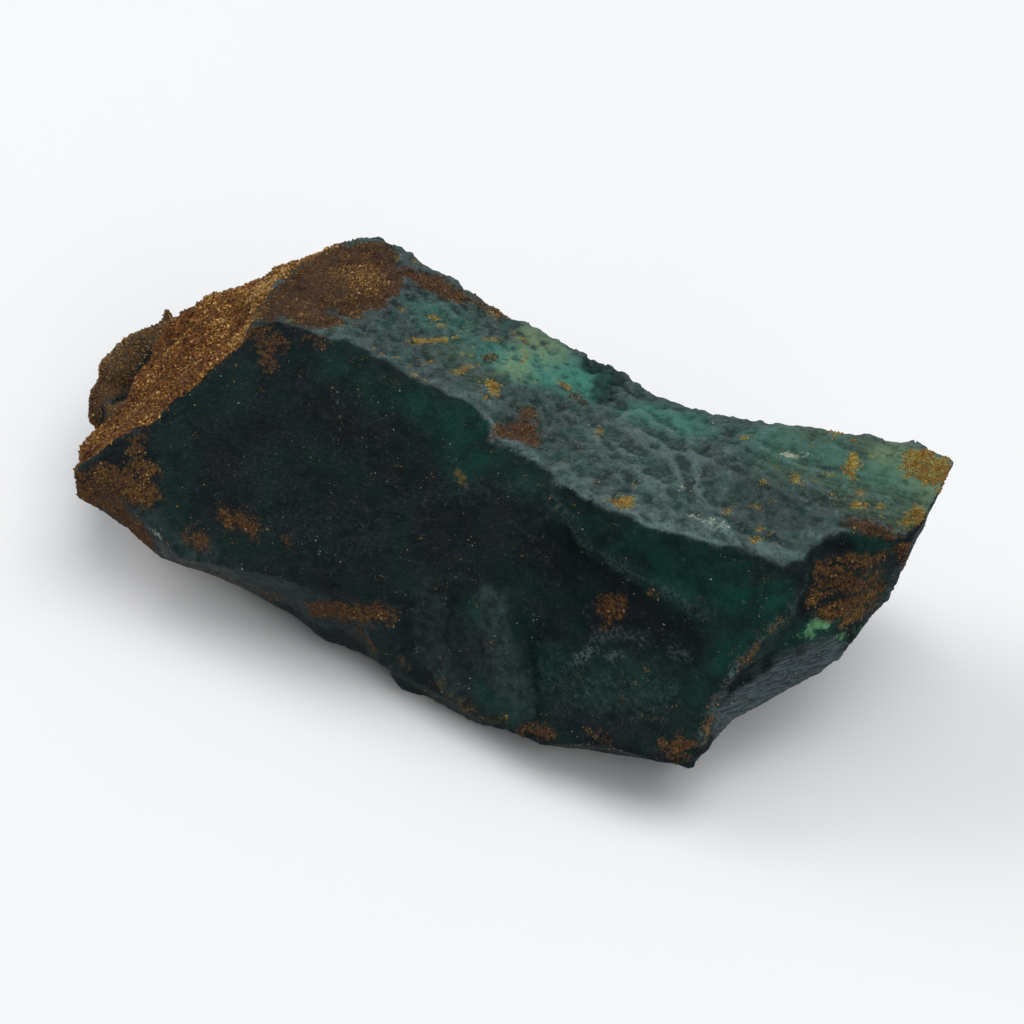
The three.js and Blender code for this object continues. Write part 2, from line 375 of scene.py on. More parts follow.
# The stone's surface as arrays in mm: places, and which vertices are neighbours
class Skin:
    def __init__(self, mesh):
        self.mesh = mesh
        places = np.empty(len(mesh.vertices) * 3)
        mesh.vertices.foreach_get("co", places)
        self.places = places.reshape(-1, 3)
        edges = np.empty(len(mesh.edges) * 2, np.int64)
        mesh.edges.foreach_get("vertices", edges)
        ends = edges.reshape(-1, 2)
        self.starts = np.concatenate([ends[:, 0], ends[:, 1]])
        self.stops = np.concatenate([ends[:, 1], ends[:, 0]])
        self.neighbours = np.bincount(self.starts, minlength=len(self.places))[:, None]

    # the mean of each vertex's neighbours
    def around(self, values):
        columns = values if values.ndim == 2 else values[:, None]
        sums = [
            np.bincount(self.starts, columns[self.stops, i], len(self.places))
            for i in range(columns.shape[1])
        ]
        mean = np.stack(sums, 1) / self.neighbours
        return mean if values.ndim == 2 else mean[:, 0]

    def normals(self):
        self.mesh.vertices.foreach_set("co", self.places.ravel().astype(np.float32))
        self.mesh.update()
        out = np.empty(len(self.places) * 3, np.float32)
        self.mesh.vertex_normals.foreach_get("vector", out)
        return out.reshape(-1, 3).astype(float)

    # up to 1 on sharp crests, down to -1 in sharp hollows
    def sharpness(self, rings=3):
        normals = self.normals()
        mean = normals
        middle = self.places
        for _ in range(rings):
            mean = self.around(mean)
            middle = self.around(middle)
        side = np.sign(((self.places - middle) * normals).sum(1))
        return (1 - np.linalg.norm(mean, axis=1)) * side

    def relax(self, share, times):
        share = share[:, None]
        for _ in range(times):
            self.places += (self.around(self.places) - self.places) * share

    def push(self, amount):
        self.places += self.normals() * amount[:, None]


stone = remeshedStone()
skin = Skin(stone.data)
print("stone remeshed:", len(skin.places), "vertices")


# 1 where the stone's broad faces look that way, 0 where they look elsewhere
def facing(direction, low, high):
    line = np.array(direction, float)
    return soft(broadNormals @ (line / np.linalg.norm(line)), low, high)


edgeSample = 0.2


# Distance in mm from the solid's edges at which its faces turn by more than turn degrees
def fromCreases(turn):
    solid = bmesh.new()
    solid.from_mesh(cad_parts["emerald"].data)
    bmesh.ops.remove_doubles(solid, verts=solid.verts, dist=1e-6)
    samples = []
    for edge in solid.edges:
        if edge.is_manifold and edge.calc_face_angle() > math.radians(turn):
            a, b = (v.co / mm for v in edge.verts)
            parts = max(1, int((b - a).length / edgeSample))
            samples += [a.lerp(b, i / parts) for i in range(parts + 1)]
    solid.free()
    tree = KDTree(len(samples))
    for i, sample in enumerate(samples):
        tree.insert(sample, i)
    tree.balance()
    return np.array([tree.find(p)[2] for p in skin.places])


# 0 beyond width mm from the path, rising to 1 over the next edge mm towards it
def within(path, width, edge=1.0):
    return soft(width - awayFrom(skin.places, path), 0, edge)


# The faceted solid first loses its flat triangles, while its sharp edges stay
flatter = within([(13, -7.5, 8), (17, -8, 7)], 4.6, 1.2)
flatter = np.maximum(flatter, within([(-18.5, -5, 10.5), (-15.5, -1.5, 14.5)], 2.6))
flatter = np.maximum(flatter, within([(-15, -9.5, 9.25), (-2, -7.5, 10.5)], 2.6))
loose = np.maximum(soft(fromCreases(17), 0.15, 0.8), 0.8 * flatter)
skin.relax(0.9 * loose, 60)
skin.relax(np.full(len(skin.places), 0.4), 1)
broadNormals = skin.normals()
for _ in range(14):
    broadNormals = skin.around(broadNormals)
broadNormals /= np.linalg.norm(broadNormals, axis=1)[:, None]
places = skin.places
x, y, z = places.T  # views of the same numbers, so they follow the sculpting

# Lines on the stone, left to right. The sand begins at the first, which goes on up the plateau.
sandEdge = [
    (-20.5, -11.25, 7.5), (-18.5, -9.5, 9.75), (-16.75, -8.25, 11), (-15.75, -7.25, 11.75),
    (-14.75, -6.25, 13), (-13.75, -5, 14.25), (-13, -4, 15.5), (-13.2, -2.5, 16.25),
    (-13.3, 0.5, 17), (-12.9, 3.75, 17), (-12.5, 5.5, 16.75), (-13.2, 9, 14),
]
# Where the sand band ends and drops to the lobe
bandCrest = [
    (-21.25, -9.4, 7), (-21.75, -7.9, 7.25), (-20.75, -5.4, 8.5), (-21.25, -1.6, 10.5),
    (-20.5, 0.1, 12), (-18.75, 0.6, 13.5),
]
valley = [(-23.4, 0.75, 8.25), (-23.5, -1, 7), (-23.6, -2.5, 5.75), (-24.75, -3.4, 4.25)]
plateauRim = [(-12.75, -3, 16.5), (-13, -1.75, 17), (-13.1, 0.75, 17), (-12.8, 5, 17)]
# The crest, where the pale top breaks over into the dark front
crestLine = [
    (-13.25, -3.5, 16), (-10.5, -2.6, 17), (-8.75, -2.6, 16.75), (-6.75, -2.1, 17),
    (-4.25, -2.25, 16.5), (-1.5, -2.5, 16.25), (1.5, -2.25, 16), (3.25, -2.75, 15.5),
    (3.75, -3.5, 14.75), (6, -3.25, 14.75), (7.25, -3.5, 14.75), (8.75, -4, 14.25),
    (10.75, -4.5, 14.5), (14.75, -4.25, 14.25), (16.75, -3.5, 13.75), (18, -3, 13.75),
    (19, -2, 13.5), (20, -2, 13.25), (21.5, -1.5, 13), (22.4, -0.5, 13), (22.4, 0.5, 13.25),
    (23.25, 2, 13.5), (24.5, 3, 13.75), (26.75, 3.75, 13),
]
browLine = [
    (8, -4.25, 14), (9.75, -4.75, 13.25), (10.75, -5, 12.25), (11.75, -5.25, 11.75),
    (15.25, -5, 11.25), (17.75, -4.75, 10.5), (18.75, -4.5, 9.75),
]
crescent = [(1.75, -6.5, 11.5), (3.5, -5.5, 12.5), (5.75, -4.75, 13.25), (8, -4.25, 13.75)]
smoothBand = [(7, -8.3, 7.9), (8, -9, 6.25), (9, -9.75, 4.75), (10.25, -10.3, 3.5)]
creaseLine = [(9.5, -8.5, 6.6), (10.25, -9, 5.25), (10.75, -9.75, 4.25), (11.5, -10.75, 3.5)]
# At the broken end: the bevel's rusty edge, its gray face, the groove beside it, the ledge
bevelLine = [
    (22.5, -1.75, 11.25), (22.5, -2, 10.25), (22, -3.25, 9.5), (21.5, -4, 8.75),
    (21, -5.5, 7.5), (20.75, -6.25, 6.5), (20.75, -8.25, 4.75),
]
bevelFace = [(22.75, -1.5, 12), (22.5, -1.75, 9.5), (21.75, -4, 8), (21.25, -5.5, 6.75)]
grooveLine = [
    (23, -1.75, 7.5), (22.5, -2.5, 7.25), (21.75, -3.75, 7), (21, -5.25, 6.5), (20.9, -6, 6),
]
ledgeMiddle = [(21.25, -6, 5), (22.25, -3.75, 5.5), (24, -0.5, 6.25)]

# How much each vertex belongs to the parts that are shaped or coloured differently
upward = facing((0, 0, 1), 0.45, 0.7)
topSide = soft(leftOf(places, crestLine) + 0.22 * cloud(places, 0.9, 66), -0.10, 0.14) * upward
frontSide = 1 - topSide
beyond = leftOf(places, bandCrest) + 0.3 * cloud(places, 1.2, 4)
lobed = soft(beyond, 0, 0.5) * soft(-x + 2.2 * layers(places, 3.5, 4, 0.6, 7), 19.2, 20.6)
sandWobble = 0.2 * cloud(places, 1.5, 3) + 1.6 * layers(places, 3.0, 4, 0.6, 9) * soft(y, 3, 6)
sandy = soft(leftOf(places, sandEdge) + sandWobble, -0.05, 0.2)
sandy *= facing((0, 0, 1), 0.05, 0.3) * soft(8 - y, 0, 3) * (1 - 0.92 * lobed)
wrinkled = within([(9.5, 3.5, 13.75), (13.5, 0, 14.5)], 4.0, 3.0) * topSide
oval = within([(17.75, 1, 14.25), (20, 1.25, 13.75)], 1.6, 0.6) * topSide
striated = soft(x, 14.5, 18) * topSide * (1 - oval)
ledged = within(ledgeMiddle, 1.9, 0.9) * facing((0.84, -0.5, 0), 0.3, 0.6)
scarred = within([(14.5, -7.5, 7.5)], 6.5, 3) * frontSide
ended = facing((0.9, -0.4, 0.2), 0.6, 0.8)
backSide = facing((0, 1, -0.1), 0.2, 0.5)


# Height 1 on the line, falling off over width mm
def along(path, width):
    return np.exp(-(awayFrom(places, path) / width) ** 2)


# Line, width and height of what stands out in a line, or sinks in where the height is negative
ridges = {
    "plateauRim": (plateauRim, 0.35, 0.08),
    "brow": (browLine, 0.5, 0.20),
    "crescent": (crescent, 0.5, 0.12),
    "smoothBand": (smoothBand, 0.75, 0.50),
    "crease": (creaseLine, 0.35, -0.32),
    "bump": ([(-5.75, -10, 8)], 0.28, 0.30),
    "bevel": (bevelLine, 0.3, 0.22),
    "groove": (grooveLine, 0.4, -0.55),
}

# Sharp crests drawn out along direction, about level on the whole
def tearing(direction, times, size, count, seed, level=0.6):
    return creases(stretched(places, direction, times), size, count, seed) - level


# Slow unevenness and dents of every face
skin.push(stoneShape["waves"] * layers(places, 7.0, 3, 0.5, 1))
skin.push(stoneShape["dents"] * layers(places, 1.8, 3, 0.6, 5) * (1 + 0.8 * topSide))

# The scar: shell-like ripples round the blow that made it, ragged flakes in its lower bed
rippleFrom = awayFrom(places, [(11, -2.5, 15)])
ripples = np.sin(rippleFrom / 0.24 + 3.0 * cloud(places, 3.5, 8))
skin.push(0.03 * ripples * scarred * soft(rippleFrom, 3, 6))
flakes = tearing((0.8, -0.5, -0.3), 1.8, 2.0, 3, 15)
skin.push(0.22 * flakes * scarred * soft(10.5 - z, 0, 2.5))
for line, width, height in ridges.values():
    skin.push(height * along(line, width))

# The back: broad shell-like ripples and a few torn steps
backFrom = awayFrom(places, [(4, 16, 16)])
backRipples = np.sin(backFrom / 0.55 + 3.0 * cloud(places, 5, 18))
skin.push(0.05 * backRipples * backSide + 0.30 * layers(places, 5.0, 4, 0.55, 19) * backSide)
backSteps = tearing((1, 0, 0.35), 2.5, 2.4, 3, 20)
skin.push(0.40 * backSteps * backSide * soft(layers(places, 6.0, 2, 0.5, 22), -0.1, 0.3))

# Wrinkles in the middle of the top, drawn-out steps to the right of them and on the ledge
wrinkles = tearing((1, -0.55, 0), 2.3, 1.6, 4, 12, 0.55)
skin.push(stoneShape["wrinkles"] * wrinkles * wrinkled)
roughTop = creases(places, 1.1, 3, 17) - 0.6
skin.push(0.24 * roughTop * topSide * (1 - wrinkled) * (1 - striated) * (1 - oval))
steps = tearing((1, 0.1, 0.05), 5.0, 1.3, 3, 21)
skin.push(stoneShape["steps"] * steps * striated)
ledgeSteps = tearing((0.49, 0.87, 0.1), 6.0, 0.7, 3, 31)
skin.push(stoneShape["ledgeSteps"] * ledgeSteps * ledged)
endSteps = tearing((0.45, 0.85, 0.1), 4.0, 0.9, 3, 34)
skin.push(0.16 * endSteps * ended * (1 - ledged))

# Behind the band the stone drops to a valley, then swells to the lobe. A splinter sticks up there.
lobeLumps = layers(places, 3.6, 4, 0.45, 41) + 0.3 * creases(places, 2.4, 2, 43)
swollen = lobed * soft(-x, 23.6, 25) * soft(z, 2, 5)
dropped = lobed * (1 - soft(-x, 22, 23.6)) * soft(7 - y, 0, 3)
skin.push(stoneShape["lumps"] * lobeLumps * lobed + 0.45 * swollen - 0.5 * dropped)
skin.push(-0.7 * along(valley, 0.7))
skin.relax(0.6 * lobed, 5)
skin.push(stoneShape["crust"] * layers(places, 2.2, 4, 0.55, 45) * sandy)
skin.push(0.25 * along(bandCrest, 0.5) + 1.1 * along([(-24.1, 2.7, 8.2)], 0.25))

# Bites along the sharp edges, and a knobbly stretch of the back rim
crestMask = soft(skin.sharpness(3), 0.010, 0.035)
bites = np.maximum(0, layers(places, 1.6, 3, 0.6, 51) - 0.12)
skin.push(-stoneShape["chips"] * bites * crestMask)
knobs = np.maximum(0, layers(places, 1.0, 3, 0.6, 55))
skin.push(0.6 * knobs * within([(5, 7, 13.5), (7.25, 6.75, 13.25)], 1.6))
skin.push(stoneShape["grit"] * layers(places, 0.6, 2, 0.7, 61) * (1 + topSide))

places[:, 2] = np.maximum(z, 0.0)
print("stone sculpted")

# How far each vertex stands out of the surface round it: 0 in a hollow, 0.5 level, 1 on a crest. The colour
# uses it for painted shade in hollows and painted highlights on crests, and more.
skinNormals = skin.normals()
calm = places
for _ in range(9):
    calm = skin.around(calm)
raised = np.clip(0.5 + ((places - calm) * skinNormals).sum(1) / stoneShape["relief"], 0, 1)


# 1 inside any of the listed places. Each is a line or point, a half width and a strength.
def spots(listed, ragged=0.35, edge=0.35, size=1.4, seed=0):
    total = np.zeros(len(places))
    wobble = layers(places, size, 3, 0.6, seed)
    for line, width, strength in listed.values():
        inside = width * (1 + 2.2 * ragged * wobble) - awayFrom(places, line)
        total = np.maximum(total, strength * soft(inside, -edge, edge))
    return total


rustOnTop = {
    "plateau": ([(-10.75, -0.25, 17), (-10.25, 4.5, 17)], 1.75, 1.0),
    "plateauLeft": ([(-12.3, -2.2, 17), (-12.3, 4.5, 17)], 0.95, 0.9),
    "plateauRight": ([(-8.6, 1, 16.75), (-8.6, 3.75, 16.5)], 1.35, 1.0),
    "plateauLow": ([(-11.25, -1.6, 17), (-8.9, -1.2, 17)], 0.85, 1.0),
    "plateauBack": ([(-10.75, 5.5, 17), (-10, 6, 16.75)], 1.0, 0.9),
    "backRimLeft": ([(-8, 5.75, 16.25), (-6.25, 6, 16)], 0.7, 0.95),
    "backRimMiddle": ([(-6, 5.9, 16), (-4.75, 6.1, 15.75)], 0.6, 0.95),
    "backRimRight": ([(-4.5, 6.5, 15.75), (-2, 6.75, 15.25)], 0.35, 0.8),
    "triangleLow": ([(4, -2.4, 15.25), (5.5, -1.7, 14.8)], 0.44, 1.0),
    "triangleMiddle": ([(4.6, -1.4, 15)], 0.78, 1.0),
    "triangleTop": ([(4.1, 0.2, 14.9), (4.4, -0.8, 15)], 0.36, 1.0),
    "topDot": ([(0, 2.5, 15.75)], 0.42, 0.9),
    "topMiddle": ([(5, 3.6, 14), (5.5, 3.5, 14)], 0.32, 0.6),
}
rustOnSides = {
    "leftStain": ([(-18.5, -11, 7.5), (-15.5, -10.75, 7.6)], 0.95, 0.95),
    "leftStainUp": ([(-17, -9.75, 9), (-15.9, -10.2, 8.4)], 0.9, 0.8),
    "leftStainTop": ([(-16.9, -9, 10)], 0.5, 0.65),
    "leftStrip": ([(-20, -11.4, 6.6), (-18.25, -11.5, 6), (-15.5, -11.6, 4.75)], 0.95, 1.0),
    "blotchRight": ([(-9.8, -10.4, 7.9), (-8.2, -10.1, 8.1)], 0.62, 0.9),
    "blotchLeft": ([(-11.7, -11.5, 6.5), (-11, -11.5, 6.5)], 0.58, 0.8),
    "bump": ([(-5.75, -10, 8)], 0.25, 0.9),
    "underCrest": ([(-12.6, -3.5, 16), (-10.9, -3.6, 15.9)], 0.75, 0.7),
    "underCrestLow": ([(-11, -4, 15.4), (-10.75, -4.3, 15)], 0.6, 0.65),
    "underPlateau": ([(-9, -2.8, 16.5), (-8, -2.8, 16.5)], 0.3, 0.6),
    "undercut": ([(-3.5, -10.5, 4.25), (-1, -10.5, 5), (1, -10.3, 5.9)], 0.68, 0.95),
    "undercutLow": ([(-1.25, -10.6, 4), (0.25, -10.6, 3.25)], 0.5, 0.75),
    "undercutTip": ([(0.5, -10.5, 6), (2.25, -10.25, 6.5)], 0.26, 0.9),
    "undercutLeft": ([(-13, -11.75, 4), (-6, -10.75, 3.5)], 0.5, 0.65),
    "footMiddle": ([(11, -11.25, 2.75), (12.75, -11.1, 3.25)], 0.42, 0.85),
    "footRight": ([(15, -10.5, 4), (16.25, -10.5, 4.1)], 0.32, 0.6),
    "toe": ([(20, -9.25, 4.5)], 0.75, 0.85),
    "scarPatch": ([(13.25, -5.75, 9), (13.75, -5.75, 9)], 0.65, 0.95),
    "scarPatchLow": ([(13.5, -6.25, 8.1)], 0.35, 0.8),
    "scarDot": ([(15.5, -5.25, 10.75)], 0.36, 0.7),
    "scarLowDot": ([(16, -8.5, 5.75)], 0.28, 0.6),
    "bevel": ([(22.25, -2.6, 9.9), (21.75, -3.7, 9.1), (21.25, -4.75, 8.1)], 0.24, 1.0),
    "bevelMiddle": ([(21.2, -5, 7.9), (20.75, -6.5, 6.3)], 0.14, 0.8),
    "bevelLow": ([(20.75, -6.9, 5.9), (20.75, -8, 4.75)], 0.28, 1.0),
    "endBand": ([(23.5, 2.75, 13.75), (25, 3.25, 13.4), (26.25, 3.6, 12.6)], 0.36, 1.0),
    "endBandLow": ([(26.25, 3.6, 12.6), (26.5, 3.75, 11.75)], 0.5, 0.9),
    "endTop": ([(22.75, 0.4, 11.6), (24, 1.75, 11.75), (25.4, 2.75, 12)], 0.55, 0.95),
    "endMiddle": ([(23.5, 0.5, 10.25), (25, 2.25, 10.75)], 0.85, 0.9),
    "endLow": ([(23.75, 0.25, 9.25), (25.4, 2.9, 9.4)], 0.85, 0.95),
    "endFoot": ([(24.5, 1.25, 8.25), (25.2, 2.6, 8.2)], 0.55, 0.85),
}
ochreStains = {
    "tip": ([(24.75, 7.9, 15.25), (26.25, 7.75, 15)], 0.95, 0.85),
    "tipFront": ([(26, 4.6, 13.75), (26.25, 5.25, 14)], 0.45, 0.8),
    "tipDots": ([(23.25, 7.75, 15.25)], 0.3, 0.5),
    "tipEdge": ([(26.5, 7, 14.75)], 0.35, 0.7),
    "topA": ([(-3.75, 3.25, 16)], 0.42, 0.6),
    "topB": ([(-4, 0.75, 16.4), (-3.5, 1, 16.25), (-2.75, 2, 16)], 0.24, 0.9),
    "topC": ([(-1.25, 3.75, 15.5)], 0.25, 0.6),
    "topD": ([(-0.5, -0.5, 16), (-0.25, 0.75, 16)], 0.24, 0.75),
    "topE": ([(1.5, 0.4, 15.75), (2, -0.25, 15.5)], 0.32, 0.9),
    "topF": ([(1.5, 6.25, 14.75)], 0.3, 0.6),
    "topG": ([(3.6, 3.9, 14.4), (4.25, 4.1, 14.2)], 0.26, 0.8),
    "topH": ([(7.5, 2.5, 13.75), (8.1, 1.2, 14.2)], 0.22, 0.6),
    "topI": ([(10, -3, 14.75), (10.75, -2.75, 14.75)], 0.2, 0.5),
    "topJ": ([(12.25, -2, 14.5)], 0.22, 0.75),
    "topK": ([(12.3, -3.8, 14.75), (12.9, -3.5, 14.75)], 0.4, 1.0),
    "topL": ([(0.25, 4.75, 15.25), (-2.5, 3.75, 15.75)], 0.18, 0.5),
    "rightA": ([(15.5, 4.75, 14.75)], 0.28, 0.9),
    "rightB": ([(21.5, 6.4, 14.75), (21.75, 5.75, 14.5)], 0.35, 0.95),
    "rightC": ([(20.1, 5, 14.5), (20.7, 5.1, 14.5)], 0.15, 0.8),
    "rightD": ([(19.25, 3.75, 14.25)], 0.3, 0.8),
    "rightE": ([(23, 3.9, 14), (23.6, 4.1, 14)], 0.26, 0.9),
    "rightF": ([(21.5, 3.75, 14.1), (22.75, 4.25, 14)], 0.12, 0.7),
    "crestA": ([(-2.1, -2.3, 16.5)], 0.26, 0.7),
    "crestB": ([(-3, -2.75, 16)], 0.3, 0.45),
    "faceA": ([(2.75, -5, 13.3), (3.25, -5.25, 13)], 0.26, 0.7),
    "faceB": ([(1.5, -6.25, 11.5)], 0.3, 0.3),
    "faceC": ([(5, -10.75, 2.75), (8.25, -11.25, 2.25), (9.5, -11.25, 2.75)], 0.42, 0.45),
    "faceD": ([(16.5, -9, 5), (18.5, -8.75, 5.5)], 0.35, 0.3),
    "faceE": ([(1.5, -10.25, 3), (3.25, -10.5, 2.75)], 0.25, 0.5),
    "bevel": ([(20.75, -7.4, 5.4), (20.75, -8, 4.75)], 0.2, 0.9),
    "endLow": ([(24.4, 1.1, 8), (25, 2, 8.5), (25.2, 2.6, 9.4)], 0.5, 0.7),
    "endMiddle": ([(23.6, 0.4, 9.4), (24.4, 1.2, 9.2)], 0.5, 0.5),
    "endSide": ([(22.75, -0.25, 9.75), (23, 0.1, 10.2)], 0.28, 0.6),
    "triangle": ([(4, 0.1, 14.9), (5, -0.4, 14.9), (5.6, -1.3, 14.8)], 0.16, 0.8),
    "scarA": ([(13, -8.25, 6.25)], 0.22, 0.4),
}
tealZones = {
    "middle": ([(0.75, 3.25, 15.25), (3.25, 4.25, 14.5), (4.25, 5.25, 14)], 1.8, 1.0),
    "left": ([(-5, 3.75, 16.25), (-0.5, 2.75, 15.5)], 1.3, 0.35),
    "wrinkles": ([(8.5, 5, 13.75), (12.5, 4.6, 14.25)], 1.2, 0.75),
    "right": ([(16.5, 5.25, 14.75), (25, 6.5, 14.75)], 1.3, 0.45),
}
yellowZones = {
    "rim": ([(0.25, 6.75, 14.8), (2.25, 6.5, 14.4)], 0.5, 0.7),
    "middle": ([(0.5, 6, 14.8), (2.1, 5.6, 14.6), (1, 4, 15.2), (1.5, 2.5, 15.3)], 0.9, 0.7),
    "tip": ([(23.5, 7.5, 15.25), (26.25, 7.25, 15)], 1.2, 0.6),
}
oliveZones = {
    "right": ([(19, 6, 14.75), (25.5, 5.75, 14.5)], 2.6, 0.55),
    "middle": ([(-2, 1.5, 16), (1, 0.5, 15.75)], 1.0, 0.4),
}
# Frosted pale bands, and a painted sheen along the crest with painted glints on the wrinkles
frostAndSheenZones = {
    "crestLeft": ([(-10.5, -2.2, 17), (-6.5, -1.75, 16.75), (-1, -1.6, 16.25)], 0.9, 0.15),
    "crestMiddle": ([(0.5, -1.7, 16), (2.5, -1.25, 15.6), (3.25, -2.4, 15.5)], 0.5, 0.6),
    "crest": ([(4.5, -3, 15), (7.25, -3, 14.75), (11.5, -3.8, 14.75)], 0.6, 0.55),
    "crestRight": ([(13, -4, 14.6), (16.25, -3.25, 14.1), (18, -2.5, 14), (20, -1.5, 13.5)], 0.8, 0.8),
    "crestEnd": ([(20, -1.25, 13.5), (21.75, -0.5, 13.2), (22, 0.75, 13.3)], 0.5, 0.5),
    "palePatch": ([(16, -2, 14.3), (17, -1.9, 14.25), (18, -1.6, 14)], 0.45, 0.85),
    "wrinkles": ([(9, 2.25, 14), (13, 0.5, 14.5), (15, -1, 14.6)], 2.4, 0.45),
}
# Pale crystals grown into the stone, and a glint on the front that is a painted highlight
paleZones = {
    "ivory": ([(17.75, 4.75, 14.5), (19, 5.5, 14.75)], 0.2, 1.0),
    "crystal": ([(14.75, -0.75, 14.75)], 0.24, 1.0),
    "cluster": ([(16.2, -2.1, 14.3), (17, -1.9, 14.25), (18, -1.6, 14)], 0.26, 0.55),
    "strip": ([(-14, -11.9, 6), (-13.6, -12, 6)], 0.26, 0.6),
    "rim": ([(-5.5, 4.5, 16.25)], 0.2, 0.6),
    "glint": ([(-1.75, -5.25, 13)], 0.12, 0.5),
}
# Pale scratches and bruises on the front, partly painted highlights along lighter ridges such as the brow,
# the crescent and the bevel
scuffsAndHighlights = {
    "crescent": (crescent, 0.5, 0.1),
    "brow": (browLine, 0.34, 0.3),
    "band": (smoothBand, 0.9, 0.1),
    "scarLow": ([(13.25, -6.9, 7.4), (14.25, -6.4, 7.9), (15.5, -6.25, 8)], 0.42, 0.4),
    "scarLower": ([(12.5, -7.9, 6.4), (13.2, -7.4, 6.9)], 0.3, 0.7),
    "scarInner": ([(14.25, -7.4, 6.9), (14.9, -7, 7.2)], 0.25, 0.6),
    "scarRight": ([(17.5, -5.9, 7.9), (18.25, -5.75, 7.75)], 0.3, 0.5),
    "scarBed": ([(11.5, -9, 5.5), (14, -9, 5.5), (17.5, -8, 6.25)], 1.5, 0.13),
    "faceMiddle": ([(-9, -8, 10.5), (-5.5, -9, 9), (-1, -8.5, 9.5)], 1.6, 0.05),
    "bevel": (bevelLine, 0.24, 0.9),
    "teal": ([(6.25, -8.75, 7.25)], 0.22, 0.7),
}
# Light that has got into the stone at the pale top comes out green below the crest
glowZones = {
    "left": ([(-7, -3.25, 15.75), (-2.5, -3.5, 15.25)], 0.9, 0.5),
    "middle": ([(-1, -3.25, 15.5), (2.5, -3.25, 15.25), (3.5, -4, 14.25)], 1.2, 0.7),
    "tongue": ([(2, -4, 14.25), (3, -4.75, 13.5)], 1.0, 0.6),
    "upper": ([(4.5, -4, 14.25), (8, -4.25, 14), (12, -4.75, 13.5)], 0.7, 0.55),
    "facet": ([(14.5, -4.6, 13), (18.5, -3.5, 11.6), (21.25, -3, 10.5)], 2.1, 0.6),
    "facetBright": ([(19.75, -3.3, 11.1), (21.6, -2.3, 11.2)], 0.9, 1.1),
    "facetLow": ([(19, -4, 10), (21, -3.75, 9.25), (20.25, -5.25, 8)], 0.9, 0.7),
    "scarBed": ([(11.5, -8.75, 5.5), (14.5, -8.5, 6.25), (19.25, -7, 6.5)], 1.4, 0.4),
    "leftLow": ([(-15.25, -7.75, 11.25), (-13.5, -10.5, 7.75), (-12.25, -11.75, 6.25)], 1.2, 0.22),
    "leftUp": ([(-14.5, -6.25, 12.75), (-12, -5.5, 13.75)], 1.2, 0.25),
    "foot": ([(8, -10.5, 3.75), (10, -10.5, 3.25)], 0.5, 0.9),
    "spot": ([(6.25, -8.75, 7.25)], 0.45, 1.1),
    "end": ([(22.25, -2.25, 7.75), (24.5, 0.5, 8.5)], 0.8, 0.8),
    "brow": ([(24.25, 2.5, 13.1), (25.5, 3.25, 12.9)], 0.5, 0.7),
    "endSide": ([(25.25, 2.75, 10.25), (25.25, 3.25, 8.75)], 0.6, 0.6),
}
# Painted glints: bright green spots and streaks where light catches the broken end
brightZones = {
    "spot": ([(23.25, -0.5, 8.4), (23.75, 0, 8.6)], 0.34, 1.0),
    "streak": ([(22.5, -2, 7.6), (23, -1, 8), (23.75, 0, 8)], 0.26, 0.6),
    "low": ([(24.1, 0.2, 7.4), (24.75, 1.5, 7.4), (25.2, 2.5, 7.4)], 0.36, 0.5),
    "toeUp": ([(20.9, -6.6, 5.7)], 0.2, 0.5),
}
grayZones = {
    "strip": ([(-18, -11.75, 6), (-8, -11.25, 4.75), (-1, -10.75, 4)], 1.6, 0.75),
    "tipEdge": ([(-20.25, -11.25, 7.4), (-18.75, -10.1, 9.2), (-16.75, -8.6, 10.8)], 0.3, 0.8),
    "tip": ([(-20.25, -11.5, 6.25), (-20.25, -11.25, 7.25)], 0.45, 1.0),
    "lowFront": ([(2, -10.5, 4.5), (5.5, -9.75, 5.5), (7, -10.5, 3)], 2.6, 0.5),
    "chin": ([(3.5, -9, 6.75), (3.5, -9.75, 4.75), (5.75, -10.5, 3.25)], 1.1, 0.8),
    "band": (smoothBand, 1.15, 0.95),
    "bandLeft": ([(2.5, -9.5, 7.5), (4, -8.5, 8.25), (8, -7.75, 8.5)], 1.0, 0.5),
    "bevel": (bevelFace, 0.45, 0.6),
    "endSide": ([(26.2, 3.9, 10.6), (25.6, 3.4, 8.4), (25, 2.4, 7.5)], 0.6, 0.9),
    "scarLow": ([(12.5, -9.5, 4.75), (19, -8.5, 5.5)], 2.0, 0.25),
    "plateauRim": (plateauRim, 0.26, 0.6),
    "underPlateau": ([(-11.25, -2.4, 17), (-8.75, -2.6, 16.9)], 0.2, 0.6),
}
# Painted shade: darker colour in the groove, the crease, the valley and the oval hollow, under the brow at
# the broken end, down the scar below the brow and by the back rim
paintedShadeZones = {
    "groove": (grooveLine, 0.45, 1.0),
    "crease": (creaseLine, 0.2, 0.5),
    "brow": ([(22.9, 1.25, 12.9), (23.9, 2.1, 12.6)], 0.45, 0.8),
    "scarTop": ([(9.5, -5.5, 12), (13, -5.5, 10.5), (17.5, -5.25, 9.4)], 0.8, 0.5),
    "scarMiddle": ([(11.5, -6.25, 8.5), (16.5, -5.75, 8.9)], 0.7, 0.35),
    "rim": ([(4.25, 7, 13.75), (5.25, 7.25, 13.5), (6, 5, 13.7)], 0.9, 0.6),
    "oval": ([(17.75, 1, 14.25), (20, 1.25, 13.75)], 1.3, 0.3),
    "valley": (valley, 0.5, 0.85),
}

sandy *= 1 - spots({"tip": grayZones["tip"]}, seed=67)
